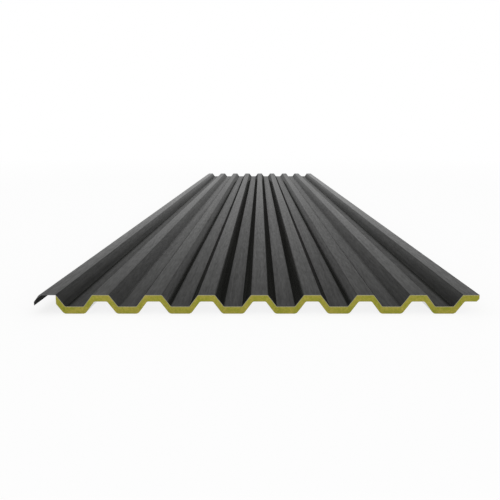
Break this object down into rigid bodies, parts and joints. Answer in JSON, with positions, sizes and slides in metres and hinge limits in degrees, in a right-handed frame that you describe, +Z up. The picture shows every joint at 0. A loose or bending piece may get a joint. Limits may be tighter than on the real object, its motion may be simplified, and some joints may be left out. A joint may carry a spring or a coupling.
{
  "type": "insulated sandwich panel",
  "caption": "Roofing panel: ribbed steel weather sheet, polyurethane foam that follows the ribs and a thin foil facing, with a bare rib along one side for the side lap",
  "frame": {"origin": "middle of the underside of the bounding box, level with the underside of the valleys", "axes": "X across the ribs, with the bare lapping rib at -X; Y along the ribs; Z up, weather side up"},
  "size_m": [1.0518, 5, 0.0459],
  "materials": {
    "coated_steel": "coil-coated black grey, satin, with fine lengthwise streaks",
    "polyurethane_foam": "cut rigid foam, mustard yellow, fine closed cells",
    "embossed_foil": "thin embossed aluminium foil"
  },
  "bodies": {
    "root": {"roof_sheet": "coated_steel", "foam_core": "polyurethane_foam", "liner_foil": "embossed_foil"}
  },
  "joints": []
}
